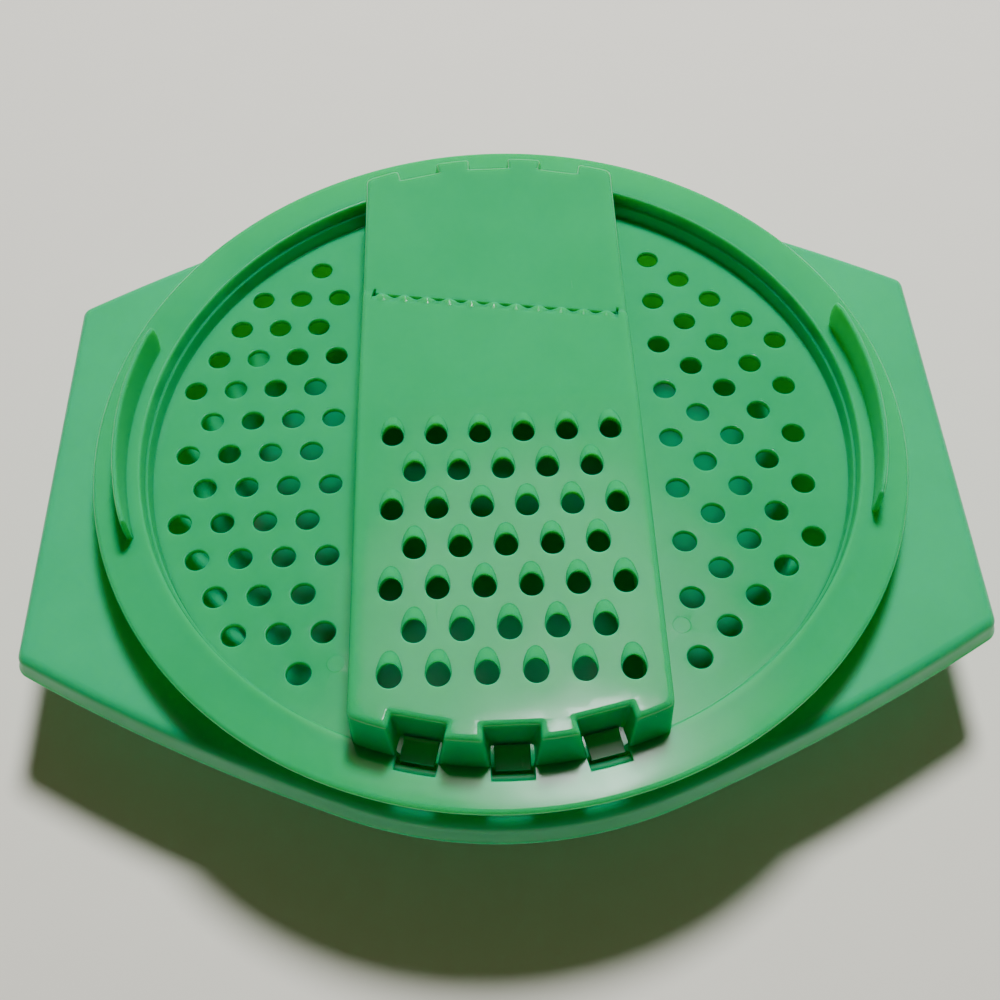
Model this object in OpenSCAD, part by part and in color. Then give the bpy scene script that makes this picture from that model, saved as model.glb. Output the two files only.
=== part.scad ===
// Kitchen bowl set in translucent plastic: a shallow bowl with a winged flange, a strainer disc
// that hangs in the bowl's collar, and a grater and slicer bridge that clips across the disc.
// Millimetres, +Z up. The origin is on the rest plane, below the middle of the bowl.

/* [Overall] */
// Height of the disc's rim above the rest plane
rim_z = 60; // [55:1:80]
// Play between the disc's well and the bowl's collar, at the radius
collar_play = 0.6; // [0.4:0.1:1.2]

/* [Bowl] */
// Length of the flange from wing to wing
flange_len = 311; // [300:1:330]
// Radius of the flange at the front and the back
flange_r = 136; // [136:0.5:145]
// Depth of the flange below the disc's rim
flange_drop = 14; // [12:1:18]
// Depth of the turned-down lip around the flange
lip_h = 8.5; // [6:0.5:12]
// Wall thickness of the bowl, flange and lip
bowl_t = 2.2; // [1.8:0.1:3]
// Inside radius of the bowl where the wall meets the floor curve
bowl_floor_r = 104; // [95:1:110]
// Radius of the curve between the bowl's wall and its floor
bowl_curve_r = 16; // [10:1:20]
// Middle radius of the foot ring
foot_r = 84; // [70:1:88]
// Width of the foot ring
foot_w = 3; // [2:0.5:5]
// Height of the foot ring
foot_h = 2; // [1:0.5:4]
// Corner radius of the wings, seen from above
wing_corner_r = 6; // [4:1:12]

/* [Strainer disc] */
// Outside diameter of the disc
disc_d = 270; // [262:1:272]
// Thickness of the rim
rim_t = 2.2; // [1.8:0.1:3]
// Width of the flat rim
rim_w = 15.3; // [14:0.1:18]
// Depth of the perforated floor below the rim
well_depth = 10; // [8:0.5:12]
// Wall thickness of the well
well_t = 2; // [1.6:0.1:2.5]
// Diameter of the strainer holes
hole_d = 7.8; // [5:0.1:8.6]
// Height of the two grips above the rim
grip_h = 12; // [8:1:16]
// Thickness of the grips
grip_t = 2; // [1.6:0.1:3]
// Angle that each grip spans
grip_span = 37; // [25:1:45]

/* [Grater and slicer bridge] */
// Width of the bridge
bridge_w = 92; // [90:0.5:94]
// Height of the grater's face above the rim
grater_h = 15; // [14:0.5:18]
// Height of the slicer's run-in face above the rim, at its outer end
run_in_h = 10.3; // [9:0.1:11]
// Wall thickness of the bridge
bridge_t = 2.2; // [1.8:0.1:2.6]
// Diameter of the grater holes
grater_d = 7.4; // [6:0.1:8]
// Height of a grater tooth above the face
tooth_h = 2.2; // [1.5:0.1:2.5]
// Skew of the slicer's edge, away from square across the bridge
blade_skew = 8.8; // [0:0.1:12]
// Number of crests along the slicer's wavy edge, with a valley at each side of each crest
crests = 11; // [7:1:12]

/* [Hidden] */
$fn = 96;
cut = 1;                          // overrun of every cutting shape

// Bowl
collar_top = rim_z - rim_t;
flange_z = rim_z - flange_drop;
disc_r = disc_d / 2;
well_r = disc_r - rim_w;          // inside radius of the well at the rim
collar_r = well_r + well_t + collar_play;
wing_curve_r = 730;               // the wings' long edges bow out very slightly
wing_facets = 360;
wing_start = 21.8;                // degrees from the Y axis where a wing leaves the round flange
wing_cx = (wing_curve_r - flange_r) * sin(wing_start);
wing_cy = (wing_curve_r - flange_r) * cos(wing_start);
foot_top = foot_h + bowl_t;

// Strainer disc
well_floor_r = well_r - 2.1;
ledge_drop = 4.6;                 // depth of the fine step around the well's wall
ledge_lean = 0.5;                 // how far the wall leans out below the step
ledge_out = 1.2;                  // how far out the step itself reaches
ledge_h = 0.4;
floor_z = rim_z - well_depth;
grip_r = well_r + 4.3;            // inside radius of the grips
window_w = 12.2;                  // the six windows that the bridge clips into
window_in = well_floor_r - 4.5;
window_out = well_r + 5.6;
window_depth = 8;
window_step = 13;                 // degrees between two windows
ends = [-90, 90];
side_pitch = 14.04;               // staggered field on the left
side_rows = 13;
side_x = 50.2;
side_steps = 8;
side_limit_r = 112;               // no hole of the left field lies further out
diamond_pitch = 10.47;            // diagonal field on the right
diamond_cols = 5;
diamond_rows = 9;                 // holes in the longest column
diamond_x = 58.7;
opening_w = 82;                   // food falls through here from the bridge to the bowl
opening_l = 196;
opening_corner_r = 6;

// Grater and slicer bridge
seat_gap = 0.3;                   // the bridge's foot stands this far above the rim
end_foot_r = well_r + 2;          // the end walls lean in from here
end_top_r = well_r - 0.2;
blade_y = 44;                     // the slicer's edge crosses the middle of the bridge here
slot_gap = 1.3;
slot_w = bridge_w - 5;
flute_pitch = slot_w / crests;
relief_w = 0.8;                   // a slit runs back from each end of the slot
relief_l = 2.6;
blade_slope = 3.4;                // degrees that the slicer's face falls towards its edge
run_in_slope = 0.5;
flute_r = 2.5;                    // radius of each crest and of each valley
valley_h = 1;                     // how far a valley dips below the face at the edge
crest_h = 0.8;                    // how far a crest stands above it
flute_l = 4;
grater_pitch = 13.93;
grater_row_pitch = 14.13;
grater_rows = 7;
grater_cols = 6;
grater_x = 0.7;                   // the teeth sit this far right of the middle
grater_first_y = -14.3;
tooth_r = 5.2;                    // each tooth is a slice of a hollow ball of this radius
tooth_wall = 0.8;
tooth_back = 3.2;
tooth_lead = 1;                   // the scoop's front edge hangs this far over the hole
notch_top_w = 16.4;               // three notches in each end wall, narrower at the rim
notch_foot_w = 12.4;
notch_in = well_r - 4.9;
notch_wall = 1.8;
clip_w = 10.4;                    // a clip hangs through each window
clip_t = 2;
clip_drop = 1.6;                  // it stays above the top of the bowl's collar
clip_toe = 6.5;                   // how far the toe of a clip kicks out
clip_toe_h = 0.6;

// Centre of the circle that rounds a wing's corner: inside the side edge and the bowed edge alike
function wing_corner() =
    let (x = flange_len / 2 - wing_corner_r, r = wing_curve_r - wing_corner_r)
    [x, sqrt(r * r - (x + wing_cx) * (x + wing_cx)) - wing_cy];

// Height of the bridge's two faces above the rest plane at the distance y along it
function grater_z(y) = rim_z + grater_h - max(y, 0) * tan(blade_slope);
function run_in_z(y) = rim_z + run_in_h + (end_top_r - y) * tan(run_in_slope);

// A rectangle with truly round corners
module rounded_rect(w, l, r) {
    square([w - 2 * r, l], center = true);
    square([w, l - 2 * r], center = true);
    for (x = [-1, 1], y = [-1, 1])
        translate([x * (w / 2 - r), y * (l / 2 - r)])
            circle(r);
}

// What the rounding takes off one wing corner
module wing_corner_waste() {
    c = wing_corner();
    turn = atan2(c[1] + wing_cy, c[0] + wing_cx);
    past = wing_corner_r + cut;
    tip = past / cos(turn / 2);
    difference() {
        translate(c)
            polygon([
                [0, 0],
                [past, 0],
                [tip * cos(turn / 2), tip * sin(turn / 2)],
                [past * cos(turn), past * sin(turn)]
            ]);
        translate(c)
            circle(wing_corner_r);
    }
}

// Outline of the flange, seen from above, drawn in by the distance inset
module flange_outline(inset) {
    circle(flange_r - inset);
    difference() {
        intersection_for (x = [-1, 1], y = [-1, 1])
            wing_quarter(x, y, inset);
        square([2 * flange_r * sin(wing_start), 3 * flange_r], center = true);
    }
}

// The half-plane side edge and bowed long edge that bound one quarter of the wings
module wing_quarter(x, y, inset) {
    intersection() {
        translate([-x * wing_cx, -y * wing_cy])
            circle(wing_curve_r - inset, $fn = wing_facets);
        square([flange_len - 2 * inset, 4 * flange_r], center = true);
    }
}

// The bowl in cross-section: collar, wall, floor and foot ring
module bowl_section() {
    floor_in = bowl_floor_r - bowl_curve_r;
    polygon([
        [0, foot_h],
        [foot_r, foot_h],
        [floor_in, foot_h],
        [floor_in, foot_top],
        [0, foot_top]
    ]);
    bowl_curve(floor_in);
    polygon([
        [bowl_floor_r, foot_top + bowl_curve_r],
        [collar_r, flange_z - bowl_t],
        [collar_r, collar_top],
        [collar_r + bowl_t, collar_top],
        [collar_r + bowl_t, flange_z - bowl_t],
        [bowl_floor_r + bowl_t, foot_top + bowl_curve_r]
    ]);
    translate([foot_r - foot_w / 2, 0])
        square([foot_w, foot_h + bowl_t / 2]);
}

// A quarter ring that turns the floor up into the wall
module bowl_curve(floor_in) {
    outer = bowl_curve_r + bowl_t;
    translate([floor_in, foot_top + bowl_curve_r])
        intersection() {
            difference() {
                circle(outer);
                circle(bowl_curve_r);
            }
            translate([0, -outer])
                square(outer);
        }
}

module bowl() {
    color("mediumseagreen") {
        rotate_extrude()
            bowl_section();
        flange();
    }
}

// The winged flange around the bowl, with its lip turned down
module flange() {
    difference() {
        translate([0, 0, flange_z - lip_h])
            linear_extrude(height = lip_h)
                difference() {
                    flange_outline(0);
                    for (x = [0, 1], y = [0, 1])
                        mirror([x, 0])
                            mirror([0, y])
                                wing_corner_waste();
                }
        translate([0, 0, flange_z - lip_h - cut])
            linear_extrude(height = lip_h + cut - bowl_t)
                flange_outline(bowl_t);
        translate([0, 0, flange_z - lip_h - cut])
            cylinder(r = collar_r + bowl_t / 2, h = lip_h + 2 * cut);
    }
}

// The disc in cross-section: flat rim, stepped wall and floor
module disc_section() {
    ledge_z = rim_z - ledge_drop;
    polygon([
        [0, floor_z],
        [well_floor_r, floor_z],
        [well_floor_r + ledge_lean, ledge_z - ledge_h],
        [well_floor_r + ledge_out, ledge_z],
        [well_r, rim_z],
        [disc_r - rim_t / 2, rim_z],
        [disc_r - rim_t / 2, rim_z - rim_t],
        [well_r + well_t, rim_z - rim_t],
        [well_floor_r + well_t, floor_z - well_t],
        [0, floor_z - well_t]
    ]);
    translate([disc_r - rim_t / 2, rim_z - rim_t / 2])
        circle(rim_t / 2);
}

// An upright curved wall with a round top, one at each side of the rim
module grip() {
    rotate([0, 0, -grip_span / 2])
        rotate_extrude(angle = grip_span) {
            translate([grip_r, rim_z - rim_t / 2])
                square([grip_t, grip_h + rim_t / 2 - grip_t / 2]);
            translate([grip_r + grip_t / 2, rim_z + grip_h - grip_t / 2])
                circle(grip_t / 2);
        }
}

// One drilled strainer hole
module strainer_hole(x, y) {
    translate([x, y, floor_z - well_t - cut])
        cylinder(d = hole_d, h = well_t + 2 * cut);
}

// Staggered rows of holes, as far out as the round floor allows
module staggered_holes() {
    last = side_rows - 1;
    for (row = [0 : last], step = [1 + (row + 1) % 2 : 2 : side_steps]) {
        x = -side_x - step * side_pitch / 2;
        y = (last / 2 - row) * side_pitch;
        if (norm([x, y]) < side_limit_r)
            strainer_hole(x, y);
    }
}

// Columns of holes that shorten by one from column to column
module diagonal_holes() {
    for (col = [0 : diamond_cols - 1]) {
        last = diamond_rows - 1 - col;
        for (row = [0 : last])
            strainer_hole(diamond_x + col * diamond_pitch, (last - 2 * row) * diamond_pitch);
    }
}

// Repeats its children at the six places where the bridge clips in, pointing along +X
module at_windows() {
    for (end = ends, step = [-1 : 1])
        rotate([0, 0, end + step * window_step])
            children();
}

module strainer_disc() {
    color("seagreen")
        difference() {
            union() {
                rotate_extrude()
                    disc_section();
                grip();
                rotate([0, 0, 180])
                    grip();
            }
            translate([0, 0, floor_z - well_t - cut])
                linear_extrude(height = well_t + 2 * cut)
                    rounded_rect(opening_w, opening_l, opening_corner_r);
            staggered_holes();
            diagonal_holes();
            at_windows()
                translate([window_in, -window_w / 2, rim_z - window_depth])
                    cube([window_out - window_in, window_w, window_depth + cut]);
        }
}

// A bar across the bridge whose side outline is given as points along Y and Z
module across(w, outline) {
    rotate([90, 0, 90])
        linear_extrude(height = w, center = true)
            polygon(outline);
}

// Everything in front of the slicer's edge, or everything behind it, moved back by shift
module beside_blade(side, shift) {
    reach = 2 * disc_r;
    translate([0, blade_y + shift, 0])
        rotate([0, 0, -blade_skew])
            translate([-disc_r, side < 0 ? -reach : 0, 0])
                cube([reach, reach, rim_z + reach]);
}

// The bridge's outer form, or its hollow when inset by the wall thickness
module bridge_form(inset) {
    foot = rim_z + seat_gap - (inset > 0 ? cut : 0);
    far = disc_r;
    intersection() {
        union() {
            intersection() {
                across(bridge_w - 2 * inset, [
                    [-far, foot],
                    [-far, grater_z(-far) - inset],
                    [0, grater_z(0) - inset],
                    [far, grater_z(far) - inset],
                    [far, foot]
                ]);
                beside_blade(-1, 0);
            }
            intersection() {
                across(bridge_w - 2 * inset, [
                    [-far, foot],
                    [-far, run_in_z(-far) - inset],
                    [far, run_in_z(far) - inset],
                    [far, foot]
                ]);
                beside_blade(1, -cut);
            }
        }
        translate([0, 0, foot])
            cylinder(r1 = end_foot_r - inset, r2 = end_top_r - inset, h = grater_h + 2 * cut);
    }
}

// A wedge pointing along +X, wider at its top, that forms or cuts one notch
module notch(grow, start) {
    half_foot = notch_foot_w / 2 + grow;
    half_top = notch_top_w / 2 + grow;
    foot = rim_z + seat_gap - (grow > 0 ? 0 : cut);
    top = rim_z + grater_h;
    translate([start, 0, 0])
        rotate([90, 0, 90])
            linear_extrude(height = 2 * notch_wall + window_out - start)
                polygon([
                    [-half_foot, foot],
                    [half_foot, foot],
                    [half_top, top],
                    [half_top, top + cut],
                    [-half_top, top + cut],
                    [-half_top, top]
                ]);
}

// The clip at the foot of a notch, with a flat toe that kicks out into the window
module clip() {
    root_z = rim_z + seat_gap + clip_t;
    tip_z = rim_z - clip_drop;
    back = notch_in - clip_t;
    translate([0, clip_w / 2, 0])
        rotate([90, 0, 0])
            linear_extrude(height = clip_w)
                polygon([
                    [back, root_z],
                    [back, tip_z],
                    [notch_in + clip_toe, tip_z],
                    [notch_in + clip_toe, tip_z + clip_toe_h],
                    [notch_in, rim_z],
                    [notch_in, root_z]
                ]);
}

// A raised scoop behind one grater hole, open towards the front
module tooth() {
    sink = tooth_r - tooth_h;
    translate([0, tooth_back, rim_z + grater_h - sink])
        intersection() {
            difference() {
                sphere(tooth_r);
                sphere(tooth_r - tooth_wall);
            }
            translate([-tooth_r, -tooth_lead, sink - bridge_t / 2])
                cube([2 * tooth_r, tooth_r + tooth_lead, tooth_r]);
        }
}

// Repeats its children at each grater hole, one hole fewer in every other row
module at_grater_holes() {
    for (row = [0 : grater_rows - 1]) {
        count = grater_cols - row % 2;
        for (i = [0 : count - 1])
            translate([
                grater_x + (i - (count - 1) / 2) * grater_pitch,
                grater_first_y - row * grater_row_pitch,
                0
            ])
                children();
    }
}

// The gap in front of the run-in face, and the valleys that make the slicer's edge wavy
module slicer_cuts() {
    translate([0, blade_y, 0])
        rotate([0, 0, -blade_skew]) {
            translate([-slot_w / 2, 0, rim_z])
                cube([slot_w, slot_gap, grater_h + cut]);
            for (x = [-slot_w / 2, slot_w / 2 - relief_w])
                translate([x, 0, rim_z])
                    cube([relief_w, relief_l, grater_h + cut]);
            intersection() {
                translate([-slot_w / 2, -flute_l, rim_z])
                    cube([slot_w, flute_l + cut, grater_h + cut]);
                for (i = [0 : crests])
                    flute(i * flute_pitch, flute_r - valley_h, cut);
            }
        }
}

// A rod along the slicer's edge face: it cuts a valley from above, or fills a crest from below
module flute(x, rise, overrun) {
    translate([x - slot_w / 2, -flute_l, grater_z(blade_y) + rise])
        rotate([-90, 0, 0])
            cylinder(r = flute_r, h = flute_l + overrun);
}

// The crests that stand between the valleys of the slicer's edge
module slicer_crests() {
    translate([0, blade_y, 0])
        rotate([0, 0, -blade_skew])
            for (i = [0 : crests - 1])
                flute((i + 0.5) * flute_pitch, crest_h - flute_r, 0);
}

module grater_slicer_bridge() {
    color("lightseagreen")
        difference() {
            union() {
                difference() {
                    bridge_form(0);
                    bridge_form(bridge_t);
                }
                intersection() {
                    bridge_form(0);
                    at_windows()
                        notch(notch_wall, notch_in - notch_wall);
                }
                at_windows()
                    clip();
                at_grater_holes()
                    tooth();
                slicer_crests();
            }
            at_windows()
                notch(0, notch_in);
            at_grater_holes()
                translate([0, 0, rim_z + grater_h / 2])
                    cylinder(d = grater_d, h = (grater_h + cut) / 2);
            slicer_cuts();
        }
}

bowl();
strainer_disc();
grater_slicer_bridge();
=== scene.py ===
import math

import bmesh
import bpy
import numpy as np
from mathutils import Euler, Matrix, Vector
from mathutils.geometry import delaunay_2d_cdt


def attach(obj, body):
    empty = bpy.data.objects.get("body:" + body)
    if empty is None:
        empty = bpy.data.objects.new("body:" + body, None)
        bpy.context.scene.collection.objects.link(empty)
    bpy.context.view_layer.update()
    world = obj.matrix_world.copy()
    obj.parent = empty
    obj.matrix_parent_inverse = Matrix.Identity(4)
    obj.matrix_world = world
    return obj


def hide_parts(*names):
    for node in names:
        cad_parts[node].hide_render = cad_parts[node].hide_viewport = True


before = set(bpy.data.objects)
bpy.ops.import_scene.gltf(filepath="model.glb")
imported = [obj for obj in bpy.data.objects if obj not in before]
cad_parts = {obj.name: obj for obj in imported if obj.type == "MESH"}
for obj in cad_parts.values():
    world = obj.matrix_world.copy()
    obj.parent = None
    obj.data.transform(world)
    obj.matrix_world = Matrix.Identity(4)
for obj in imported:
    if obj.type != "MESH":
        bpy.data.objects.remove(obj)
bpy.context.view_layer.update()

# All sizes are millimetres, as in the CAD source. A Shell turns them into metres.
MM = 0.001

# ---------------------------------------------------------------- sizes

RIM_Z = 60.0  # top of the disc's rim

# Bowl
HALF_LEN = 155.5  # middle of the bowl to the end of a wing
FLANGE_R = 136.0
FLANGE_Z = 46.0  # top of the flange
FLANGE_T = 2.2
LIP_H = 8.5
ROOT_R = 126.2  # the flange leaves the collar's foot here
UNDER_ROOT_R = 126.4
LIP_ROLL = 3.6  # radius of the roll from the flange's top into its lip
LIP_FLARE = 1.3  # how far the lip leans out
LIP_INNER = 5.2  # inset of the lip's root under the flange
WING_R = 730.0  # radius of a wing's bowed edges
WING_START = math.radians(21.8)  # where the round flange turns into a bowed edge
WING_CX = (WING_R - FLANGE_R) * math.sin(WING_START)
WING_CY = (WING_R - FLANGE_R) * math.cos(WING_START)
WING_CORNER = 6.0
COLLAR_IN = 122.3
COLLAR_OUT = 124.5
FLOOR_TOP = 4.2
FLOOR_BEND = 88.0  # the floor turns up into the wall round this radius
BEND_IN = 16.0
BEND_OUT = 18.2

# Disc
FLOOR_Z = 50.0
FLOOR_UNDER = 48.0
HOLE_R = 3.9
GRIP_MID = 125.02  # radius of a grip's middle
GRIP_HALF = 18.5  # degrees to each side of its middle
GRIP_H = 12.0
WINDOW_HALF = 6.1
WINDOW_STEP = 13.0  # degrees between windows
SIDE_PITCH = 14.04  # left field of holes: staggered rows
SIDE_ROWS = 13
SIDE_X = 50.2
SIDE_LIMIT = 112.0
DIAMOND_PITCH = 10.47  # right field: diagonal rows
DIAMOND_COLS = 5
DIAMOND_ROWS = 9
DIAMOND_X = 58.7
OPENING = (41.0, 98.0, 6.0)  # half width, half length and corner radius
EJECTOR_MARKS = ((-52.9, -81.5), (54.3, -72.6))

# Bridge
SIDE_X_OUT = 46.0  # half the bridge's width
BRIDGE_T = 2.2
NOTCH_T = 1.8
FOOT_Z = 60.3
GRATER_Z = 75.0
RUN_IN_Z = 70.3
END_FOOT_R = 121.7
END_TOP_R = 119.5
NOTCH_FOOT = 6.2
NOTCH_TOP = 8.2
NOTCH_BACK = 114.8
BLADE_Y = 44.0
BLADE_SKEW = math.radians(8.8)
BLADE_FALL = math.tan(math.radians(3.4))
RUN_IN_FALL = math.tan(math.radians(0.5))
SLOT_HALF = 43.0
SLOT_GAP = 1.6
SLIT_W = 0.8
SLIT_L = 3.7
CRESTS = 11
WAVE = 1.0  # height of a crest and depth of a valley
TWIST = 0.6  # how far the edge drops towards the right
FLUTE_L = 3.2
ROUNDING = (1.9, 1.5)  # radii along the long sides' and the ends' top edges
TOOTH_R = 3.5
TOOTH_H = 2.1
TOOTH_L = 8.3
SCOOP_LIP = 0.4  # width of the scoop's foot round its hole
HOLE_LIP = 0.16
SCOOP_SWELL = 0.85
TEETH_PITCH = (13.93, 14.13)
TEETH_ROWS = 7
TEETH_FIRST = (0.7, -14.3)
CLIP_HALF = 5.2


# ---------------------------------------------------------------- mesh tools


class Shell:
    """Points in millimetres and the faces between them, gathered until they become one mesh."""

    def __init__(self):
        self.points = []
        self.faces = []
        self.crisp = []

    def ring(self, points):
        first = len(self.points)
        self.points.extend(tuple(p) for p in points)
        return list(range(first, len(self.points)))

    def face(self, *corners):
        kept = [c for k, c in enumerate(corners) if c != corners[k - 1]]
        if len(kept) > 2:
            self.faces.append(tuple(kept))

    def strip(self, a, b, closed=True, skip=()):
        last = len(a) if closed else len(a) - 1
        for i in range(last):
            if i not in skip:
                j = (i + 1) % len(a)
                self.face(a[i], a[j], b[j], b[i])

    def skin(self, rings, closed=True):
        for a, b in zip(rings, rings[1:]):
            self.strip(a, b, closed)

    def soften(self, chain):
        """Marks the edges along a chain of points, so that the bevel rounds them."""
        self.crisp.extend(zip(chain, chain[1:]))

    def fill(self, loops, height, pitch, lines=()):
        """Triangles over the region that an odd number of the loops surrounds."""
        ids, edges, plans = [], [], []
        for loop in loops:
            base = len(ids)
            ids.extend(loop)
            edges.extend((base + k, base + (k + 1) % len(loop)) for k in range(len(loop)))
            plans.append(np.array([self.points[i][:2] for i in loop]))
        edge_points = np.concatenate(plans)
        lo, hi = edge_points.min(0), edge_points.max(0)
        row_h = pitch * math.sqrt(3) / 2
        spots = []
        for r in range(int((hi[1] - lo[1]) / row_h) + 1):
            y = lo[1] + (r + 0.5) * row_h
            x = lo[0] + (0.25 + 0.5 * (r % 2)) * pitch
            while x < hi[0]:
                spots.append((x, y))
                x += pitch
        spots = np.array(spots)
        for y in lines:
            spots = spots[abs(spots[:, 1] - y) > 0.45 * row_h]
            row = np.arange(lo[0], hi[0], 0.5 * pitch)
            spots = np.concatenate([spots, np.stack([row, np.full(len(row), y)], 1)])
        spots = spots[surrounded(spots, plans)]
        gap = np.full(len(spots), np.inf)
        for plan in plans:
            gap = np.minimum(gap, np.linalg.norm(spots[:, None] - plan[None], axis=2).min(1))
        spots = spots[gap > 0.45 * pitch]
        ids.extend(self.ring((x, y, height(x, y)) for x, y in spots))
        flat = [Vector(p) for p in np.concatenate([edge_points, spots])]
        made = delaunay_2d_cdt(flat, edges, [], 0, 1e-6)
        coords, tris, source = made[0], made[2], made[3]
        mids = np.array([np.mean([coords[k] for k in tri], axis=0) for tri in tris])
        for tri, inside in zip(tris, surrounded(mids, plans)):
            if inside:
                self.face(*(ids[source[k][0]] for k in tri))

    def build(self, name, bevel=0.0):
        mesh = bpy.data.meshes.new(name)
        mesh.from_pydata([[c * MM for c in p] for p in self.points], [], self.faces)
        if self.crisp:
            weight = mesh.attributes.new("bevel_weight_edge", "FLOAT", "EDGE")
            marked = {frozenset(e) for e in self.crisp}
            for edge in mesh.edges:
                if frozenset(edge.vertices) in marked:
                    weight.data[edge.index].value = 1.0
        work = bmesh.new()
        work.from_mesh(mesh)
        bmesh.ops.remove_doubles(work, verts=work.verts, dist=2e-6)
        loose = [v for v in work.verts if not v.link_faces]
        bmesh.ops.delete(work, geom=loose, context="VERTS")
        bmesh.ops.recalc_face_normals(work, faces=work.faces)
        work.to_mesh(mesh)
        work.free()
        mesh.polygons.foreach_set("use_smooth", [True] * len(mesh.polygons))
        piece = bpy.data.objects.new(name, mesh)
        bpy.context.scene.collection.objects.link(piece)
        if bevel:
            rounding = piece.modifiers.new("edges", "BEVEL")
            rounding.limit_method = "WEIGHT"
            rounding.width = bevel * MM
            rounding.segments = 2
            rounding.use_clamp_overlap = False
        mesh.set_sharp_from_angle(angle=math.radians(50))
        even = piece.modifiers.new("shading", "WEIGHTED_NORMAL")
        even.keep_sharp = True
        even.weight = 80
        return piece


def surrounded(spots, plans):
    """For each spot, whether an odd number of the closed plans lies around it."""
    x, y = spots[:, :1], spots[:, 1:]
    odd = np.zeros(len(spots), bool)
    for plan in plans:
        a, b = plan, np.roll(plan, -1, axis=0)
        across = (a[:, 1] > y) != (b[:, 1] > y)
        rise = np.where(b[:, 1] == a[:, 1], 1.0, b[:, 1] - a[:, 1])
        at = a[:, 0] + (y - a[:, 1]) * (b[:, 0] - a[:, 0]) / rise
        odd ^= (across & (x < at)).sum(1) % 2 == 1
    return odd


def circle(x, y, r, z, n):
    """n points round a level circle."""
    return [
        (x + r * math.cos(math.tau * k / n), y + r * math.sin(math.tau * k / n), z)
        for k in range(n)
    ]


def turned(p, q, degrees):
    """The point p along and q across a direction, turned into X and Y."""
    a = math.radians(degrees)
    return (p * math.cos(a) - q * math.sin(a), p * math.sin(a) + q * math.cos(a))


def smooth(lo, hi, v):
    """0 below lo and 1 above hi, with an even curve between."""
    t = min(max((v - lo) / (hi - lo), 0.0), 1.0)
    return t * t * (3 - 2 * t)


def span(a, b, n):
    """n equal steps from a to b, both included."""
    return [a + (b - a) * k / n for k in range(n + 1)]


# ---------------------------------------------------------------- bowl


def wing_corner_y():
    """Where the circle that rounds a wing's corner has its middle."""
    x = HALF_LEN - WING_CORNER + WING_CX
    r = WING_R - WING_CORNER
    return math.sqrt(r * r - x * x) - WING_CY


def outline(inset):
    """The flange's outline, drawn in by the inset, as a closed loop from the right-hand side on."""
    yc = wing_corner_y()
    xc = HALF_LEN - WING_CORNER
    turn = math.atan2(yc + WING_CY, xc + WING_CX)
    quarter = [(HALF_LEN - inset, y) for y in span(0, yc, 20)[:-1]]
    for a in span(0, turn, 8)[:-1]:
        r = WING_CORNER - inset
        quarter.append((xc + r * math.cos(a), yc + r * math.sin(a)))
    for a in span(turn, math.pi / 2 - WING_START, 40)[:-1]:
        r = WING_R - inset
        quarter.append((r * math.cos(a) - WING_CX, r * math.sin(a) - WING_CY))
    for a in span(math.pi / 2 - WING_START, math.pi / 2, 30):
        r = FLANGE_R - inset
        quarter.append((r * math.cos(a), r * math.sin(a)))
    half = quarter + [(-x, y) for x, y in quarter[-2::-1]]
    return half + [(x, -y) for x, y in half[-2:0:-1]]


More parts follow.
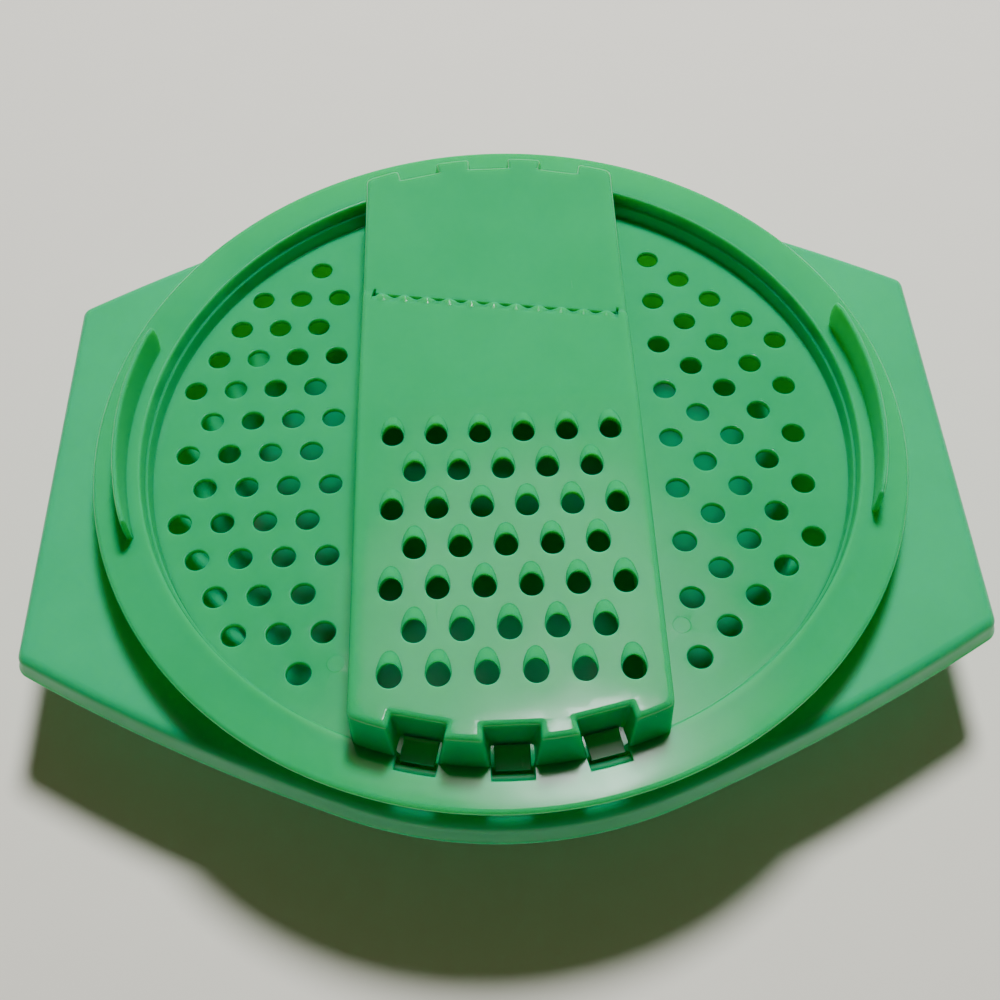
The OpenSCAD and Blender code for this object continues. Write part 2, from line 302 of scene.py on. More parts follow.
def make_bowl():
    """One closed skin: up the inside, over the collar, out to the lip and back underneath."""
    s = Shell()
    edge = outline(0)
    headings = [math.atan2(y, x) for x, y in edge]

    def round_ring(r, z):
        return s.ring((r * math.cos(a), r * math.sin(a), z) for a in headings)

    def outline_ring(inset, z):
        return s.ring((x, y, z) for x, y in outline(inset))

    def between(r, inset, z, part):
        loop = outline(inset)
        return s.ring(
            (
                r * math.cos(a) * (1 - part) + x * part,
                r * math.sin(a) * (1 - part) + y * part,
                z,
            )
            for a, (x, y) in zip(headings, loop)
        )

    bend_z = FLOOR_TOP + BEND_IN
    rings = [round_ring(r, FLOOR_TOP) for r in (9, 30, 55, 75, 86)]
    first = rings[0]
    for a in span(-90, -6, 9):
        t = math.radians(a)
        rings.append(
            round_ring(FLOOR_BEND + BEND_IN * math.cos(t), bend_z + BEND_IN * math.sin(t))
        )
    wall = [(104.25, 20.6), (105.1, 22.0), (109.4, 27.2), (114.8, 34.2), (120.2, 41.1)]
    collar = [(121.5, 43.0), (122.1, 44.4), (COLLAR_IN, 46.0), (COLLAR_IN, 51.5)]
    lip_top = [(COLLAR_IN, 57.1), (122.45, 57.5), (122.8, 57.7), (123.4, 57.75)]
    outer = [(124.0, 57.7), (124.35, 57.5), (COLLAR_OUT, 57.1), (COLLAR_OUT, 51.5)]
    root = [(COLLAR_OUT, 47.4), (124.62, 46.8), (124.95, 46.3), (125.5, 46.03), (ROOT_R, FLANGE_Z)]
    for r, z in wall + collar + lip_top + outer + root:
        rings.append(round_ring(r, z))
    for part in (0.2, 0.4, 0.6, 0.8, 0.93):
        rings.append(between(ROOT_R, LIP_FLARE + LIP_ROLL, FLANGE_Z, part))
    for a in span(90, 0, 7):
        t = math.radians(a)
        inset = LIP_FLARE + LIP_ROLL * (1 - math.cos(t))
        rings.append(outline_ring(inset, FLANGE_Z - LIP_ROLL * (1 - math.sin(t))))
    low = FLANGE_Z - LIP_H
    for inset, z in (
        (0.95, low + 3.2),
        (0.45, low + 1.5),
        (0.3, low + 1.15),
        (0.08, low + 0.95),
        (0.0, low + 0.6),
        (0.12, low + 0.2),
        (0.5, low),
        (1.5, low),
        (1.9, low + 0.15),
        (2.1, low + 0.6),
        (2.6, low + 2.6),
        (3.3, low + 4.7),
        (4.1, low + 5.8),
        (LIP_INNER, FLANGE_Z - FLANGE_T),
    ):
        rings.append(outline_ring(inset, z))
    for part in (0.85, 0.6, 0.4, 0.2):
        rings.append(between(UNDER_ROOT_R, LIP_INNER, FLANGE_Z - FLANGE_T, part))
    under = [(UNDER_ROOT_R, FLANGE_Z - FLANGE_T), (125.4, 43.6), (124.4, 43.0), (117.2, 34.2)]
    for r, z in under + [(111.6, 27.2), (107.4, 21.9), (106.5, 20.6)]:
        rings.append(round_ring(r, z))
    for a in span(-6, -90, 9):
        t = math.radians(a)
        rings.append(
            round_ring(FLOOR_BEND + BEND_OUT * math.cos(t), bend_z + BEND_OUT * math.sin(t))
        )
    foot = [(86.2, 2.0), (85.7, 1.85), (85.5, 1.5), (85.4, 0.35), (85.1, 0.0), (84.0, 0.0)]
    foot += [(82.9, 0.0), (82.6, 0.35), (82.5, 1.5), (82.3, 1.85), (81.8, 2.0)]
    for r, z in foot + [(55, 2.0), (30, 2.0), (9, 2.0)]:
        rings.append(round_ring(r, z))
    s.skin(rings)
    s.face(*first)
    s.face(*rings[-1])
    return s.build("bowl_moulding")


# ---------------------------------------------------------------- disc


def window_side(centre, side):
    """The heading of a window's side, which runs parallel to the window's middle line."""
    return lambda r: centre + side * math.degrees(math.asin(WINDOW_HALF / r))


def fixed(heading):
    return lambda r: heading


def between_headings(here, ahead, part, turn):
    """The heading part of the way from one station to the next, at any radius."""
    return lambda r: here(r) * (1 - part) + (ahead(r) + turn) * part


def disc_columns():
    """The disc's columns: pairs of (heading at a radius, kind of cell that follows)."""
    fine = [-GRIP_HALF, -18.25, -17.9, -17.4] + span(-16.8, 16.8, 28) + [17.4, 17.9, 18.25]
    grip_parts = [(a + GRIP_HALF) / (2 * GRIP_HALF) for a in fine]
    stations = []
    for half in (0, 180):
        start = half - 90
        stations.append((window_side(start + WINDOW_STEP, 1), span(0, 1, 44)[:-1], "rim"))
        stations.append((fixed(half - GRIP_HALF), grip_parts, "grip"))
        stations.append((fixed(half + GRIP_HALF), span(0, 1, 44)[:-1], "rim"))
        for k in (-1, 0, 1):
            centre = half + 90 + k * WINDOW_STEP
            stations.append((window_side(centre, -1), span(0, 1, 6)[:-1], "window"))
            if k < 1:
                stations.append((window_side(centre, 1), span(0, 1, 5)[:-1], "rim"))
    columns = []
    for i, (here, parts, kind) in enumerate(stations):
        ahead = stations[(i + 1) % len(stations)][0]
        turn = 360 if i == len(stations) - 1 else 0
        for part in parts:
            columns.append((between_headings(here, ahead, part, turn), kind))
    return columns


def strainer_holes():
    """The middles of the holes: staggered rows on the left, a diamond of rows on the right."""
    spots = []
    last = SIDE_ROWS - 1
    for row in range(SIDE_ROWS):
        for step in range(1 + (row + 1) % 2, 9, 2):
            x = -SIDE_X - step * SIDE_PITCH / 2
            y = (last / 2 - row) * SIDE_PITCH
            if math.hypot(x, y) < SIDE_LIMIT:
                spots.append((x, y))
    for col in range(DIAMOND_COLS):
        end = DIAMOND_ROWS - 1 - col
        for row in range(end + 1):
            spots.append((DIAMOND_X + col * DIAMOND_PITCH, (end - 2 * row) * DIAMOND_PITCH))
    return spots


def rounded_rect(hx, hy, r, z, grow=0.0):
    """A rectangle with round corners, grown outwards, with points all along its sides."""
    loop = []
    corners = ((1, 1, 0), (-1, 1, 90), (-1, -1, 180), (1, -1, 270))
    for k, (sx, sy, start) in enumerate(corners):
        cx, cy = sx * (hx - r), sy * (hy - r)
        for a in span(start, start + 90, 8):
            t = math.radians(a)
            loop.append((cx + (r + grow) * math.cos(t), cy + (r + grow) * math.sin(t), z))
        nx, ny, _ = corners[(k + 1) % 4]
        t = math.radians(start + 90)
        here = Vector((loop[-1][0], loop[-1][1]))
        there = Vector(
            (nx * (hx - r) + (r + grow) * math.cos(t), ny * (hy - r) + (r + grow) * math.sin(t))
        )
        n = max(1, round((there - here).length / 4))
        for p in span(0, 1, n)[1:-1]:
            q = here.lerp(there, p)
            loop.append((q.x, q.y, z))
    return loop


def make_disc():
    """The well and rim as rings, cut by windows and grips, with a flat floor full of holes."""
    s = Shell()
    columns = disc_columns()
    marks = {}
    profile = [
        (117.15, 50.0, ""),
        (117.42, 50.08, ""),
        (117.58, 50.3, ""),
        (117.8, 52.0, "sill_in"),
        (118.05, 54.9, ""),
        (118.2, 55.2, ""),
        (118.7, 55.36, ""),
        (118.92, 55.65, ""),
        (119.45, 59.3, ""),
        (119.58, 59.7, ""),
        (119.86, 59.93, ""),
        (120.3, RIM_Z, ""),
        (121.9, RIM_Z, ""),
        (123.75, RIM_Z, "grip_in"),
        (125.3, RIM_Z, "end_top"),
        (126.25, RIM_Z, "grip_out"),
        (129.8, RIM_Z, ""),
        (133.5, RIM_Z, ""),
        (134.2, 59.86, ""),
        (134.75, 59.45, ""),
        (135.0, 58.9, ""),
        (134.8, 58.38, ""),
        (134.3, 58.0, ""),
        (133.6, 57.85, ""),
        (129.8, 57.85, ""),
        (125.3, 57.85, "end_under"),
        (122.3, 57.85, ""),
        (121.85, 57.7, ""),
        (121.6, 57.3, ""),
        (120.4, 52.0, "sill_out"),
        (119.8, 49.0, ""),
        (119.55, 48.35, ""),
        (119.0, FLOOR_UNDER, ""),
    ]
    rows = []
    for i, (r, z, mark) in enumerate(profile):
        marks[mark] = i
        rows.append(s.ring((*turned(r, 0, angle(r)), z) for angle, _ in columns))
    windows = {j for j, (_, kind) in enumerate(columns) if kind == "window"}
    grips = {j for j, (_, kind) in enumerate(columns) if kind == "grip"}
    sill_in, end_top = marks["sill_in"], marks["end_top"]
    end_under, sill_out = marks["end_under"], marks["sill_out"]
    grip_in, grip_out = marks["grip_in"], marks["grip_out"]
    for i in range(len(rows) - 1):
        skip = set()
        if sill_in <= i < end_top or end_under <= i < sill_out:
            skip |= windows
        if grip_in <= i < grip_out:
            skip |= grips
        s.strip(rows[i], rows[i + 1], True, skip)

    # The windows' walls
    count = len(columns)
    for j in sorted(windows):
        if (j - 1) % count not in windows:
            run = [j]
            while run[-1] % count in windows:
                run.append((run[-1] + 1) % count)
            s.strip([rows[end_top][k] for k in run], [rows[end_under][k] for k in run], False)
            s.strip([rows[sill_in][k] for k in run], [rows[sill_out][k] for k in run], False)
            for k in (run[0], run[-1]):
                top = [rows[i][k] for i in range(sill_in, end_top + 1)]
                below = [rows[i][k] for i in range(end_under, sill_out + 1)]
                s.face(*top, *below)
                s.soften(top + below + top[:1])
            for i in (end_top, end_under, sill_in, sill_out):
                s.soften([rows[i][k] for k in run])

    # The grips
    for half in (0, 180):
        run = [j for j in sorted(grips) if abs((columns[j][0](125) - half + 180) % 360 - 180) < 60]
        run.append((run[-1] + 1) % count)
        inner = [(123.84, 0.06), (123.95, 0.22), (124.02, 0.5), (124.05, 3.0), (124.1, 6.5)]
        inner += [(124.14, 9.5), (124.18, 10.9), (124.3, 11.5), (124.62, 11.87)]
        fence = inner + [(GRIP_MID, GRIP_H)]
        fence += [(2 * GRIP_MID - r, h) for r, h in inner[::-1]]
        walls = []
        for k in run:
            base = columns[k][0](125) - half
            lean = (base + 180) % 360 - 180
            corner = smooth(16.6, GRIP_HALF, abs(lean))
            wall = []
            for r, h in fence:
                belly = 1 + 0.024 * math.sin(math.pi * h / GRIP_H)
                z = RIM_Z + h * (1 - 0.09 * corner)
                wall.append((*turned(r, 0, half + lean * belly), z))
            walls.append(s.ring(wall))
        for a, b, k, m in zip(walls, walls[1:], run, run[1:]):
            s.strip(a, b, False)
            s.face(rows[grip_in][k], rows[grip_in][m], b[0], a[0])
            s.face(rows[grip_out][k], rows[grip_out][m], b[-1], a[-1])
        for k, wall in ((run[0], walls[0]), (run[-1], walls[-1])):
            n = len(inner)
            s.face(rows[grip_in][k], rows[end_top][k], rows[grip_out][k], wall[-1], wall[0])
            s.strip(wall[:n], wall[: -n - 1 : -1], False)
            s.face(wall[n - 1], wall[n], wall[n + 1])
            s.soften(wall)

    # The floor, with its holes, its food opening and two ejector marks
    sides = 32
    top_loops, under_loops = [rows[0]], [rows[-1]]
    for x, y in strainer_holes():
        steps = (
            (HOLE_R + 0.42, FLOOR_Z),
            (HOLE_R + 0.2, FLOOR_Z - 0.05),
            (HOLE_R + 0.05, FLOOR_Z - 0.2),
            (HOLE_R, FLOOR_Z - 0.45),
            (HOLE_R - 0.04, FLOOR_UNDER + 0.3),
            (HOLE_R + 0.02, FLOOR_UNDER + 0.1),
            (HOLE_R + 0.2, FLOOR_UNDER),
        )
        hole = [s.ring(circle(x, y, r, z, sides)) for r, z in steps]
        s.skin(hole)
        top_loops.append(hole[0])
        under_loops.append(hole[-1])
    steps = ((0.5, FLOOR_Z), (0.22, 49.93), (0.05, 49.7), (0.0, 49.3), (0.0, 48.5), (0.15, 48.1))
    frame_loops = [
        s.ring(rounded_rect(*OPENING, z, grow)) for grow, z in steps + ((0.5, FLOOR_UNDER),)
    ]
    s.skin(frame_loops)
    top_loops.append(frame_loops[0])
    under_loops.append(frame_loops[-1])
    for x, y in EJECTOR_MARKS:
        steps = ((3.0, FLOOR_Z), (2.85, FLOOR_Z + 0.1), (2.6, FLOOR_Z + 0.12))
        mark = [s.ring(circle(x, y, r, z, 40)) for r, z in steps]
        s.skin(mark)
        s.face(*mark[-1])
        top_loops.append(mark[0])
    s.fill(top_loops, lambda x, y: FLOOR_Z, 5.0)
    s.fill(under_loops, lambda x, y: FLOOR_UNDER, 6.0)
    return s.build("strainer_disc_moulding", bevel=0.35)


# ---------------------------------------------------------------- bridge


def slicer_frame(x, y):
    """(distance along the slicer's edge, distance behind it)"""
    c, n = math.cos(BLADE_SKEW), math.sin(BLADE_SKEW)
    return x * c - (y - BLADE_Y) * n, x * n + (y - BLADE_Y) * c


def from_slicer(along, behind):
    c, n = math.cos(BLADE_SKEW), math.sin(BLADE_SKEW)
    return along * c + behind * n, BLADE_Y - along * n + behind * c


def blade_z(y):
    return GRATER_Z - max(y, 0.0) * BLADE_FALL


def run_in_z(y):
    return RUN_IN_Z + (END_TOP_R - y) * RUN_IN_FALL


def top_z(x, y):
    """Height of the bridge's face: the slicer's edge steps down to the run-in face."""
    along, behind = slicer_frame(x, y)
    if abs(along) < SLOT_HALF - SLIT_W / 4:
        part = 0.0 if behind < SLOT_GAP / 2 else 1.0
    else:
        part = smooth(-0.3, SLIT_L, behind)
    return blade_z(y) * (1 - part) + run_in_z(y) * part


def rounded_corner(before, corner, after, r, n=4):
    """Points of a soft corner between two neighbours of it."""
    a = corner + (before - corner).normalized() * r
    b = corner + (after - corner).normalized() * r
    return [a * (1 - t) ** 2 + corner * 2 * t * (1 - t) + b * t * t for t in span(0, 1, n)]


def end_chain(end_r, half_x, notch_half, back):
    """One end of the bridge towards +X: points with how far each belongs to the long sides."""
    side = math.sqrt(end_r * end_r - half_x * half_x)
    lip = math.sqrt(end_r * end_r - notch_half * notch_half)
    corners = [(Vector((side, -half_x)), 2.2)]
    for k in (-1, 0, 1):
        for p, q in ((lip, -notch_half), (back, -notch_half), (back, notch_half), (lip, notch_half)):
            corners.append((Vector(turned(p, q, k * WINDOW_STEP)), 1.0))
    corners.append((Vector((side, half_x)), 2.2))
    spots = [c for c, _ in corners]
    runs = [6, 3, 6, 3, 5, 3, 6, 3, 5, 3, 6, 3, 6]
    chain = []
    for i, (corner, r) in enumerate(corners):
        before = spots[i - 1] if i else corner + Vector((-10, 0))
        after = spots[i + 1] if i < len(spots) - 1 else corner + Vector((-10, 0))
        bend = rounded_corner(before, corner, after, r)
        if i == 0:
            chain += [(p, 1 - t) for p, t in zip(bend, span(0, 1, 4))]
        elif i == len(spots) - 1:
            chain += [(p, t) for p, t in zip(bend, span(0, 1, 4))]
        else:
            chain += [(p, 0.0) for p in bend]
        if i < len(spots) - 1:
            start = chain[-1][0]
            nxt = spots[i + 1]
            far = spots[i + 2] if i + 2 < len(spots) else nxt + Vector((-10, 0))
            stop = rounded_corner(corner, nxt, far, corners[i + 1][1])[0]
            arc = abs(start.length - end_r) < 0.4 and abs(stop.length - end_r) < 0.4
            for t in span(0, 1, runs[i])[1:-1]:
                p = start.lerp(stop, t)
                if arc:
                    p = p.normalized() * (start.length * (1 - t) + stop.length * t)
                chain.append((p, 0.0))
    return chain


# Places along a long side: close together round the slicer
SIDE_STEPS = (
    span(-102, -2, 40)
    + [0.0]
    + span(2, 30, 14)
    + span(31, 58, 36)
    + span(60, 102, 17)
)


def bridge_loop(shell, level, angle, inset=0.0, notch_inset=None, sink=0.0):
    """A closed loop round the bridge.
    level 0 is the foot and 1 the start of the top's rounding, which angle then follows to 90."""
    a = math.radians(angle)
    side_r, end_r = ROUNDING
    if notch_inset is None:
        notch_inset = inset
    x_in = inset + side_r * (1 - math.cos(a))
    e_in = end_r * (1 - math.cos(a))
    loop = []

    def lift(x, y, part):
        r = side_r * part + end_r * (1 - part)
        top = top_z(x, y) - sink
        wall_top = top - r
        if level < 1:
            return FOOT_Z + (wall_top - FOOT_Z) * level
        return top - r * (1 - math.sin(a))

    for face in (1, -1):
        end_z = lift(0.0, face * END_TOP_R, 0.0)
        rise = (end_z - FOOT_Z) / (GRATER_Z - FOOT_Z)
        r = END_FOOT_R + (END_TOP_R - END_FOOT_R) * rise
        half = NOTCH_FOOT + (NOTCH_TOP - NOTCH_FOOT) * rise
        chain = end_chain(
            r - inset - e_in,
            SIDE_X_OUT - x_in,
            half + notch_inset + e_in,
            NOTCH_BACK - notch_inset - e_in,
        )
        for p, part in chain:
            x, y = turned(p.x, p.y, face * 90)
            loop.append((x, y, lift(x, y, part)))
        steps = SIDE_STEPS if face < 0 else SIDE_STEPS[::-1]
        x = -face * (SIDE_X_OUT - x_in)
        loop.extend((x, y, lift(x, y, 1.0)) for y in steps)
    return shell.ring(loop)


def make_tooth(s, cx, cy):
    """A grater hole with the scoop raised behind it: its loops on the face and underneath."""
    n = 40
    turns = [math.tau * k / n for k in range(n)]
    far = [max(0.0, math.sin(t)) for t in turns]
    reach = []
    for t, f in zip(turns, far):
        edge = TOOTH_R + SCOOP_LIP
        if f:
            edge = 1 / math.hypot(math.cos(t) / (TOOTH_R + SCOOP_LIP), f / TOOTH_L)
        reach.append(edge)
    loops = []
    for u in (1.12, 1.0, 0.93, 0.75, 0.5, 0.25, 0.08):
        ring = []
        for t, f, edge in zip(turns, far, reach):
            r = min(TOOTH_R + HOLE_LIP + (edge - TOOTH_R - HOLE_LIP) * u, edge + 0.3)
            climb = (1 - u) ** SCOOP_SWELL * (1 + 0.25 * u) if f and u < 1 else 0.0
            h = TOOTH_H * f**SCOOP_SWELL * climb
            x, y = cx + r * math.cos(t), cy + r * math.sin(t)
            ring.append((x, y, top_z(x, y) + h))
        loops.append(s.ring(ring))
    for shrink, drop in ((0.07, 0.02), (0.0, 0.14), (0.0, 0.75)):
        ring = []
        for t, f in zip(turns, far):
            r = TOOTH_R + shrink
            x, y = cx + r * math.cos(t), cy + r * math.sin(t)
            ring.append((x, y, top_z(x, y) + TOOTH_H * f**SCOOP_SWELL - drop))
        loops.append(s.ring(ring))
    ring = []
    for t, f in zip(turns, far):
        x = cx + TOOTH_R * math.cos(t)
        y = cy + TOOTH_R * math.sin(t) + 1.7 * f
        ring.append((x, y, top_z(x, y) - BRIDGE_T))
    loops.append(s.ring(ring))
    s.skin(loops)
    return loops[0], loops[-1]


def make_clip(s, end, step):
    """The clip at the foot of a notch, with a flat toe that kicks out into the window."""
    side = [
        (112.85, 62.2),
        (112.85, 58.4),
        (121.75, 58.4),
        (121.75, 58.95),
        (118.6, 59.3),
        (115.8, 59.75),
        (114.9, 60.4),
        (114.72, 61.0),
        (114.72, 62.2),
    ]
    heading = end * 90 + step * WINDOW_STEP
    left = s.ring((*turned(p, -CLIP_HALF, heading), z) for p, z in side)
    right = s.ring((*turned(p, CLIP_HALF, heading), z) for p, z in side)
    s.strip(left, right)
    s.face(*left)
    s.face(*right[::-1])
    s.soften(left + left[:1])
    s.soften(right + right[:1])


def make_bridge():
    """Walls as loops round the bridge, then the slicer, the faces with their teeth, and clips."""
    s = Shell()
    outer = [bridge_loop(s, 0.0, 0, 0.25)]
    outer += [bridge_loop(s, level, 0) for level in (0.035, 0.35, 0.7, 1.0)]
    outer += [bridge_loop(s, 1.0, a) for a in (18, 36, 54, 72, 90)]
    inner = [bridge_loop(s, 0.0, 0, BRIDGE_T - 0.25, NOTCH_T - 0.25)]
    inner += [
        bridge_loop(s, level, 0, BRIDGE_T, NOTCH_T, BRIDGE_T - min(ROUNDING))
        for level in (0.035, 0.5, 1.0)
    ]
    roof = bridge_roof_loop(s)
    s.skin(outer)
    s.skin(inner + [roof])
    s.strip(outer[0], inner[0])

    # The slicer: a wavy edge, the slot behind it and a slit back from each of the slot's ends
    columns = CRESTS * 12
    alongs = span(-SLOT_HALF, SLOT_HALF, columns)
    rows = (-FLUTE_L, -2.7, -2.2, -1.7, -1.2, -0.7, -0.3, -0.08, 0.0)
    band = []
    for behind in rows:
        fade = smooth(-FLUTE_L, -0.25, behind)
        nick = 0.1 if behind == 0 else 0.02 if behind > -0.1 else 0.0
        row = []
        for along in alongs:
            wave = -math.cos(math.tau * (along + SLOT_HALF) * CRESTS / (2 * SLOT_HALF))
            x, y = from_slicer(along, behind)
            fall = TWIST * fade * (0.5 + along / (2 * SLOT_HALF))
            row.append((x, y, blade_z(y) + WAVE * wave * fade - fall - nick))
        band.append(s.ring(row))
    s.skin(band, closed=False)

    def face_points(pairs, sink=0.0):
        out = []
        for along, behind in pairs:
            x, y = from_slicer(along, behind)
            out.append((x, y, top_z(x, y) - sink))
        return s.ring(out)

    inside = SLOT_HALF - SLIT_W
    tour = [(SLOT_HALF, b) for b in span(0, SLIT_L, 5)]
    tour += [(inside, b) for b in span(SLIT_L, SLOT_GAP, 3)]
    tour += [(a, SLOT_GAP) for a in span(inside, -inside, 44)[1:-1]]
    tour += [(-inside, b) for b in span(SLOT_GAP, SLIT_L, 3)]
    tour += [(-SLOT_HALF, b) for b in span(SLIT_L, 0, 5)]
    brim = face_points(tour)
    brim_under = face_points(tour, BRIDGE_T)
    bodies = [(a, 0.0) for a in alongs[1:-1]]
    edge_under = [brim_under[-1]] + face_points(bodies, BRIDGE_T) + [brim_under[0]]
    s.strip(band[-1], edge_under, False)
    left = face_points([(-SLOT_HALF, b) for b in rows[1:-1]])
    right = face_points([(SLOT_HALF, b) for b in rows[1:-1]])
    left_side = [band[0][0]] + left + [brim[-1]]
    right_side = [band[0][-1]] + right + [brim[0]]
    s.strip(left_side, [row[0] for row in band], False)
    s.strip(right_side, [row[-1] for row in band], False)
    s.face(brim[0], brim[1], brim_under[1], brim_under[0], band[-1][-1])
    s.face(brim[-1], brim[-2], brim_under[-2], brim_under[-1], band[-1][0])
    s.strip(brim[1:-1], brim_under[1:-1], False)
    slot_top = left_side[::-1][1:] + band[0][1:-1] + right_side[:-1] + brim
    slot_under = brim_under + edge_under[1:-1]

    faces, unders = [outer[-1], slot_top], [roof, slot_under]
    for row in range(TEETH_ROWS):
        count = 6 - row % 2
        for k in range(count):
            x = TEETH_FIRST[0] + (k - (count - 1) / 2) * TEETH_PITCH[0]
            top, below = make_tooth(s, x, TEETH_FIRST[1] - row * TEETH_PITCH[1])
            faces.append(top)
            unders.append(below)
    s.fill(faces, top_z, 3.4, lines=(0.0,))
    s.fill(unders, lambda x, y: top_z(x, y) - BRIDGE_T, 4.5, lines=(0.0,))
    for end in (-1, 1):
        for step in (-1, 0, 1):
            make_clip(s, end, step)
    return s.build("bridge_moulding", bevel=0.3)


def bridge_roof_loop(s):
    """The loop where the bridge's inner walls meet the underside of its face."""
    made = bridge_loop(s, 1.0, 0, BRIDGE_T + 0.35, NOTCH_T + 0.35)
    for i in made:
        x, y, _ = s.points[i]
        s.points[i] = (x, y, top_z(x, y) - BRIDGE_T)
    return made


# ---------------------------------------------------------------- materials

# Light goes some millimetres into the plastic, and green light furthest
SCATTER = 0.9
SCATTER_DEPTH = 0.009
SCATTER_COLOUR = (0.2, 1.0, 0.45)
PLASTIC_IOR = 1.49
BUMP_DEPTH = 0.00004


def nodes_of(material):
    material.use_nodes = True
    tree = material.node_tree
    tree.nodes.clear()
    return tree.nodes, tree.links.new


def noise_node(nodes, link, coords, scale, detail=4.0, rough=0.55, stretch=(1, 1, 1), turn=0.0):
    place = nodes.new("ShaderNodeMapping")
    place.inputs["Scale"].default_value = stretch
    place.inputs["Rotation"].default_value = (0, 0, turn)
    link(coords, place.inputs["Vector"])
    made = nodes.new("ShaderNodeTexNoise")
    made.inputs["Scale"].default_value = scale
    made.inputs["Detail"].default_value = detail
    made.inputs["Roughness"].default_value = rough
    link(place.outputs["Vector"], made.inputs["Vector"])
    return made.outputs["Fac"]


def ranged(nodes, link, value, from_lo, from_hi, to_lo, to_hi):
    made = nodes.new("ShaderNodeMapRange")
    made.inputs["From Min"].default_value = from_lo
    made.inputs["From Max"].default_value = from_hi
    made.inputs["To Min"].default_value = to_lo
    made.inputs["To Max"].default_value = to_hi
    link(value, made.inputs["Value"])
    return made.outputs["Result"]


def combined(nodes, link, kind, a, b):
    made = nodes.new("ShaderNodeMath")
    made.operation = kind
    for socket, value in zip(made.inputs, (a, b)):
        if isinstance(value, (int, float)):
            socket.default_value = value
        else:
            link(value, socket)
    return made.outputs["Value"]


def scratches(nodes, link, coords, turn, density):
    """Fine hairline marks along one direction: 1 on a mark and 0 beside it."""
    lines = noise_node(nodes, link, coords, 900, 2.0, 0.5, (1.0, 0.035, 1.0), turn)
    patches = noise_node(nodes, link, coords, 30, 2.0, 0.5, (1.0, 0.5, 1.0), turn)
    thin = ranged(nodes, link, lines, 0.69, 0.72, 0.0, 1.0)
    where = ranged(nodes, link, patches, 0.62 - density, 0.7 - density, 0.0, 1.0)
    return combined(nodes, link, "MULTIPLY", thin, where)


def plastic(name, colour, shade, rough, grain, wear):
    """Translucent moulded plastic with cloudy colour, a fine surface and hairline scratches."""
    material = bpy.data.materials.new(name)
    nodes, link = nodes_of(material)
    out = nodes.new("ShaderNodeOutputMaterial")
    shader = nodes.new("ShaderNodeBsdfPrincipled")
    link(shader.outputs["BSDF"], out.inputs["Surface"])
    coords = nodes.new("ShaderNodeTexCoord").outputs["Object"]

    clouds = noise_node(nodes, link, coords, 22, 5.0)
    mix = nodes.new("ShaderNodeMix")
    mix.data_type = "RGBA"
    mix.inputs[6].default_value = (*colour, 1)
    mix.inputs[7].default_value = (*shade, 1)
    link(ranged(nodes, link, clouds, 0.35, 0.68, 0.0, 1.0), mix.inputs["Factor"])
    link(mix.outputs[2], shader.inputs["Base Color"])

    marks = combined(
        nodes,
        link,
        "MAXIMUM",
        scratches(nodes, link, coords, 0.12, wear),
        scratches(nodes, link, coords, 1.25, wear - 0.05),
    )
    patchy = ranged(nodes, link, noise_node(nodes, link, coords, 55), 0.3, 0.7, -0.05, 0.06)
    dull = combined(nodes, link, "ADD", patchy, rough)
    dull = combined(nodes, link, "ADD", dull, combined(nodes, link, "MULTIPLY", marks, 0.15))
    link(dull, shader.inputs["Roughness"])

    fine = noise_node(nodes, link, coords, 2600 if grain > 0.1 else 700, 3.0)
    relief = combined(nodes, link, "MULTIPLY", fine, grain)
    relief = combined(nodes, link, "SUBTRACT", relief, combined(nodes, link, "MULTIPLY", marks, 0.5))
    bump = nodes.new("ShaderNodeBump")
    bump.inputs["Strength"].default_value = 0.5
    bump.inputs["Distance"].default_value = BUMP_DEPTH
    link(relief, bump.inputs["Height"])
    link(bump.outputs["Normal"], shader.inputs["Normal"])

    shader.inputs["Subsurface Weight"].default_value = SCATTER
    shader.inputs["Subsurface Radius"].default_value = SCATTER_COLOUR
    shader.inputs["Subsurface Scale"].default_value = SCATTER_DEPTH
    shader.inputs["IOR"].default_value = PLASTIC_IOR
    return material


# ---------------------------------------------------------------- floor and lights


def make_floor():
    """The pale table top that the set stands on."""
    mesh = bpy.data.meshes.new("floor")
    reach = 3.0
    corners = [(-reach, -reach, 0), (reach, -reach, 0), (reach, reach, 0), (-reach, reach, 0)]
    mesh.from_pydata(corners, [], [(0, 1, 2, 3)])
    floor = bpy.data.objects.new("floor", mesh)
    bpy.context.scene.collection.objects.link(floor)
    material = bpy.data.materials.new("pale_floor")
    nodes, link = nodes_of(material)
    out = nodes.new("ShaderNodeOutputMaterial")
    shader = nodes.new("ShaderNodeBsdfPrincipled")
    link(shader.outputs["BSDF"], out.inputs["Surface"])
    coords = nodes.new("ShaderNodeTexCoord").outputs["Object"]
    mix = nodes.new("ShaderNodeMix")
    mix.data_type = "RGBA"
    mix.inputs[6].default_value = (0.9, 0.895, 0.85, 1)
    mix.inputs[7].default_value = (0.87, 0.86, 0.815, 1)
    link(noise_node(nodes, link, coords, 40), mix.inputs["Factor"])
    link(mix.outputs[2], shader.inputs["Base Color"])
    shader.inputs["Roughness"].default_value = 0.75
    shader.inputs["Specular IOR Level"].default_value = 0.25
    mesh.materials.append(material)


def area_light(name, direction, distance, size, energy, colour):
    """A round soft light that shines back along the direction at the point AIM."""
    data = bpy.data.lights.new(name, "AREA")
    data.shape = "DISK"
    data.size = size
    data.energy = energy
    data.color = colour
    light = bpy.data.objects.new(name, data)
    way = Vector(direction).normalized()
    light.location = AIM + way * distance
    light.rotation_euler = way.to_track_quat("Z", "Y").to_euler()
    bpy.context.scene.collection.objects.link(light)
    return light


# ---------------------------------------------------------------- scene

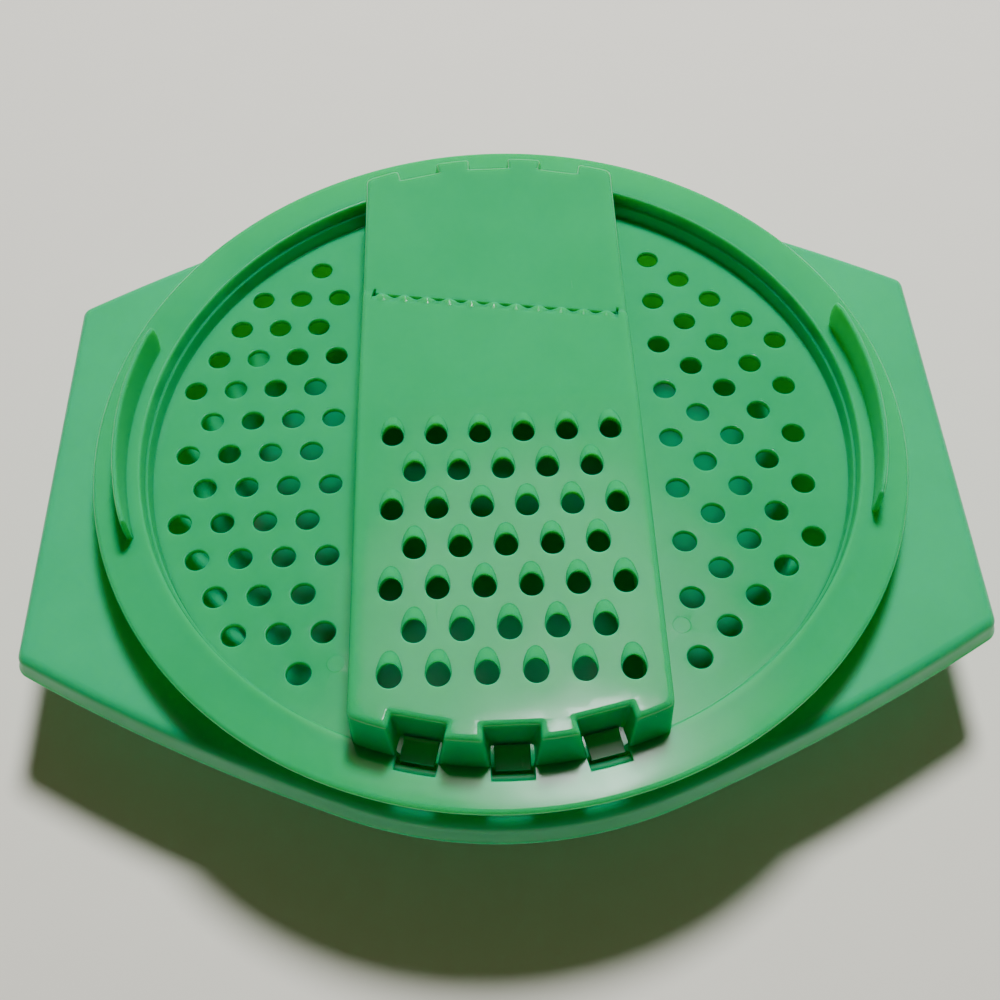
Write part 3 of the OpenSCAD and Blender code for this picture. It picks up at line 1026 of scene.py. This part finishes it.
CAMERA_LENS = 46.816
CAMERA_PLACE = (-0.0024, -0.2642, 0.4078)
CAMERA_TURN = (33.945, 1.0045, -1.9245)
AIM = Vector((0, 0, RIM_Z * MM))  # the lights point here
LIGHT_REACH = 1.6

bowl = make_bowl()
disc = make_disc()
bridge = make_bridge()

bowl.data.materials.append(
    plastic("bowl_green", (0.003, 0.5, 0.21), (0.002, 0.46, 0.19), rough=0.4, grain=0.9, wear=0.0)
)
glossy = {"grain": 0.05}
disc.data.materials.append(
    plastic("disc_green", (0.002, 0.48, 0.165), (0.001, 0.44, 0.15), 0.16, wear=0.02, **glossy)
)
bridge.data.materials.append(
    plastic("bridge_green", (0.002, 0.49, 0.16), (0.001, 0.455, 0.145), 0.14, wear=0.08, **glossy)
)

for piece, node, body, slot in (
    (bowl, "bowl", "bowl", "bowl_plastic"),
    (disc, "strainer_disc", "disc", "disc_plastic"),
    (bridge, "grater_slicer_bridge", "bridge", "bridge_plastic"),
):
    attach(piece, body)
    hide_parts(node)

make_floor()

camera = bpy.data.objects.new("camera", bpy.data.cameras.new("camera"))
camera.data.lens = CAMERA_LENS
camera.data.sensor_width = 36
camera.data.clip_start = 0.01
camera.location = CAMERA_PLACE
camera.rotation_euler = Euler([math.radians(a) for a in CAMERA_TURN])
bpy.context.scene.collection.objects.link(camera)
bpy.context.scene.camera = camera

# The key gives light and shadows, but no mirror image of itself
key = area_light("key", (0.10, 0.45, 0.89), LIGHT_REACH, 0.34, 37, (1.0, 0.985, 0.955))
key.visible_glossy = False
# These three only show as gloss on the plastic
for name, direction, size, energy, colour in (
    ("window", (0.074, 0.285, 0.956), 0.22, 3.3, (0.92, 1.0, 1.0)),
    ("haze", (0.04, 0.41, 0.91), 0.6, 2.2, (0.9, 1.0, 0.9)),
    ("ceiling", (0.12, 0.16, 0.98), 0.24, 0.6, (0.95, 1.0, 0.95)),
):
    light = area_light(name, direction, LIGHT_REACH, size, energy, colour)
    light.visible_diffuse = False
area_light("fill", (-0.5, -0.7, 0.6), 2.2, 2.0, 1.15, (1.0, 0.95, 0.5))

world = bpy.data.worlds.new("studio")
bpy.context.scene.world = world
world.use_nodes = True
world.node_tree.nodes["Background"].inputs["Color"].default_value = (1.0, 0.95, 0.42, 1)
world.node_tree.nodes["Background"].inputs["Strength"].default_value = 0.07

bpy.context.view_layer.update()
